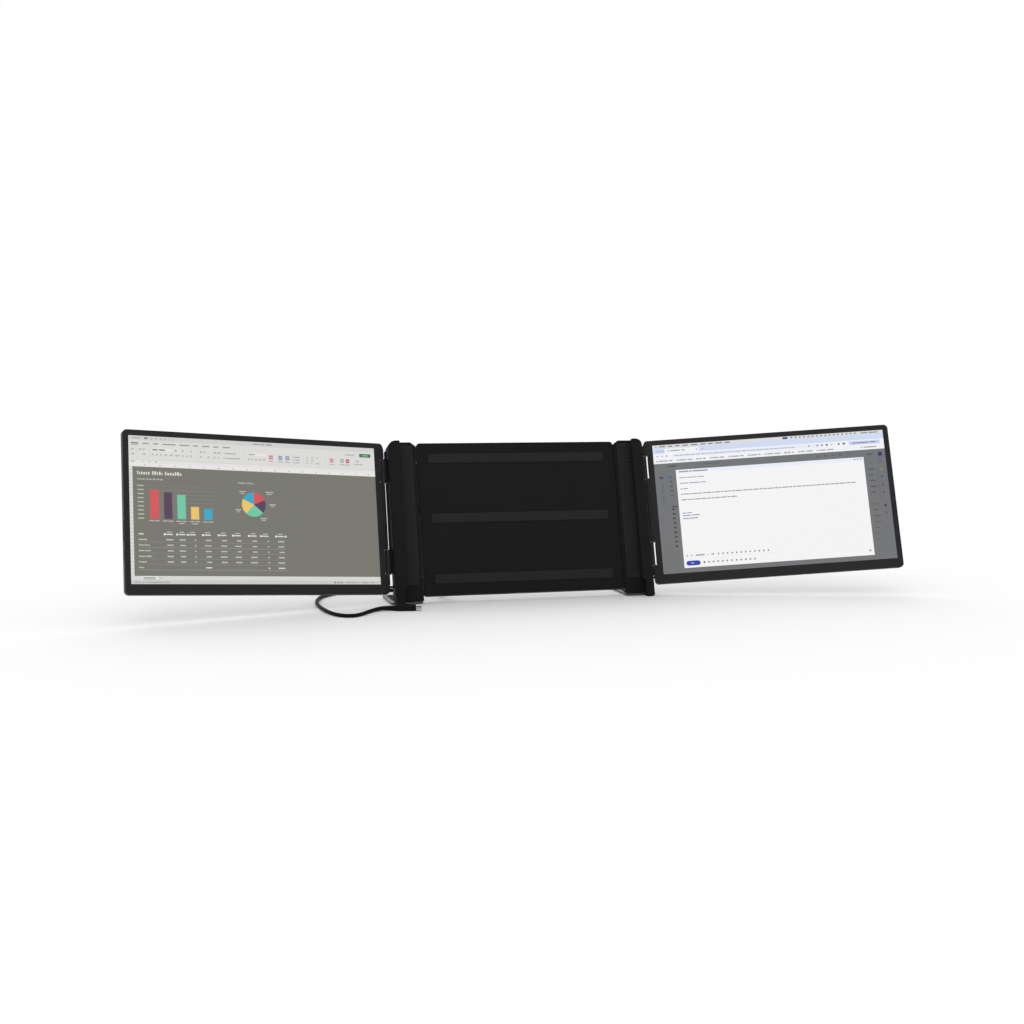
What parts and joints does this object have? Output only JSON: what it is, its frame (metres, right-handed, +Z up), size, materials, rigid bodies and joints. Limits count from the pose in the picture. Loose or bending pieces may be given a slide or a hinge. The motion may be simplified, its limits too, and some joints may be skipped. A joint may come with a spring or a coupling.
{
  "type": "laptop screen extender",
  "caption": "Folding side displays on a telescoping frame that clamps a laptop lid, with swing-out feet and an attached data and power lead.",
  "frame": {"origin": "middle of the footprint at table height, below the middle of the clamped lid", "axes": "+X to the right along the lid, +Y away from the user, +Z up"},
  "size_m": [0.9904, 0.193, 0.222],
  "materials": {
    "housing": "fine-grained matt black moulding",
    "screen_case": "fine-grained matt black moulding",
    "bezel": "satin dark grey display frame",
    "display_glass": "anti-glare display panel, lit",
    "backlight_tray": "pressed sheet",
    "circuit_board": "solder mask with black chips",
    "hinge_barrel": "satin black",
    "bracket_steel": "plain sheet steel",
    "pin_steel": "turned pin",
    "rod_steel": "ground and polished guide rod",
    "guide": "plain low-friction bearing plastic",
    "spring_steel": "rolled strip",
    "liner": "soft matt rubber",
    "pad": "soft matt rubber",
    "foot_metal": "satin grey-black sheet",
    "screw": "black zinc",
    "plated_shell": "nickel-plated shell",
    "key": "satin black key",
    "lead_jacket": "soft black jacket",
    "plug_body": "black overmould with a plated tip"
  },
  "bodies": {
    "centre_unit": {"centre_back_housing": "housing", "centre_front_cover": "housing", "lid_rest_pads": "liner", "left_upper_guide": "guide", "left_lower_guide": "guide", "right_upper_guide": "guide", "right_lower_guide": "guide", "left_spring": "spring_steel", "right_spring": "spring_steel", "hub_board": "circuit_board", "power_socket": "plated_shell", "centre_screws": "screw", "strain_relief": "lead_jacket", "lead": "lead_jacket", "lead_plug": "plug_body"},
    "left_arm": {"left_arm_frame": "housing", "left_arm_cover": "housing", "left_lid_liner": "liner", "left_upper_rod": "rod_steel", "left_lower_rod": "rod_steel", "left_upper_barrel": "hinge_barrel", "left_lower_barrel": "hinge_barrel", "left_toe_pad": "pad", "left_foot_pin": "pin_steel", "left_arm_screws": "screw", "left_cable_sleeve": "lead_jacket"},
    "right_arm": {"right_arm_frame": "housing", "right_arm_cover": "housing", "right_lid_liner": "liner", "right_upper_rod": "rod_steel", "right_lower_rod": "rod_steel", "right_upper_barrel": "hinge_barrel", "right_lower_barrel": "hinge_barrel", "right_toe_pad": "pad", "right_foot_pin": "pin_steel", "right_arm_screws": "screw", "right_cable_sleeve": "lead_jacket"},
    "left_foot": {"left_foot_plate": "foot_metal", "left_foot_pads": "pad"},
    "right_foot": {"right_foot_plate": "foot_metal", "right_foot_pads": "pad"},
    "left_screen": {"left_screen_back": "screen_case", "left_bezel": "bezel", "left_display": "display_glass", "left_backlight": "backlight_tray", "left_driver_board": "circuit_board", "left_hinge_brackets": "bracket_steel", "left_hinge_pins": "pin_steel"},
    "right_screen": {"right_screen_back": "screen_case", "right_bezel": "bezel", "right_display": "display_glass", "right_backlight": "backlight_tray", "right_driver_board": "circuit_board", "right_hinge_brackets": "bracket_steel", "right_hinge_pins": "pin_steel"},
    "left_menu_key": {"left_menu_button": "key"},
    "right_menu_key": {"right_menu_button": "key"},
    "left_brightness_key": {"left_brightness_rocker": "key"},
    "right_brightness_key": {"right_brightness_rocker": "key"}
  },
  "joints": [
    {"name": "left_arm_slide", "type": "slide", "parent": "centre_unit", "child": "left_arm", "axis": [-1, 0, 0], "range_m": [0, 0.04], "stiffness_N_per_m": 40, "springref_m": -0.2, "deforming": ["left_spring"]},
    {"name": "left_screen_hinge", "type": "hinge", "parent": "left_arm", "child": "left_screen", "pos_m": [-0.17605, 0.0387, 0.10627], "axis": [0, 0.2756, 0.9613], "range_deg": [-15, 75]},
    {"name": "left_foot_hinge", "type": "hinge", "parent": "left_arm", "child": "left_foot", "pos_m": [-0.1525, 0.01231, 0.007], "axis": [1, 0, 0], "range_deg": [0, 74]},
    {"name": "left_menu_press", "type": "slide", "parent": "left_screen", "child": "left_menu_key", "axis": [0.9659, 0.2488, -0.0713], "range_m": [0, 0.0004], "stiffness_N_per_m": 2500, "springref_m": -0.0004},
    {"name": "left_brightness_rock", "type": "hinge", "parent": "left_screen", "child": "left_brightness_key", "pos_m": [-0.4934, -0.04966, 0.10663], "axis": [-0.2588, 0.9285, -0.2662], "range_deg": [-1.6, 1.6], "stiffness_Nm_per_rad": 0.15},
    {"name": "right_arm_slide", "type": "slide", "parent": "centre_unit", "child": "right_arm", "axis": [1, 0, 0], "range_m": [0, 0.04], "stiffness_N_per_m": 40, "springref_m": -0.2, "deforming": ["right_spring"]},
    {"name": "right_screen_hinge", "type": "hinge", "parent": "right_arm", "child": "right_screen", "pos_m": [0.17605, 0.0387, 0.10627], "axis": [0, -0.2756, -0.9613], "range_deg": [-15, 75]},
    {"name": "right_foot_hinge", "type": "hinge", "parent": "right_arm", "child": "right_foot", "pos_m": [0.1525, 0.01231, 0.007], "axis": [1, 0, 0], "range_deg": [0, 74]},
    {"name": "right_menu_press", "type": "slide", "parent": "right_screen", "child": "right_menu_key", "axis": [-0.9659, 0.2488, -0.0713], "range_m": [0, 0.0004], "stiffness_N_per_m": 2500, "springref_m": -0.0004},
    {"name": "right_brightness_rock", "type": "hinge", "parent": "right_screen", "child": "right_brightness_key", "pos_m": [0.4934, -0.04966, 0.10663], "axis": [0.2588, 0.9285, -0.2662], "range_deg": [-1.6, 1.6], "stiffness_Nm_per_rad": 0.15}
  ]
}
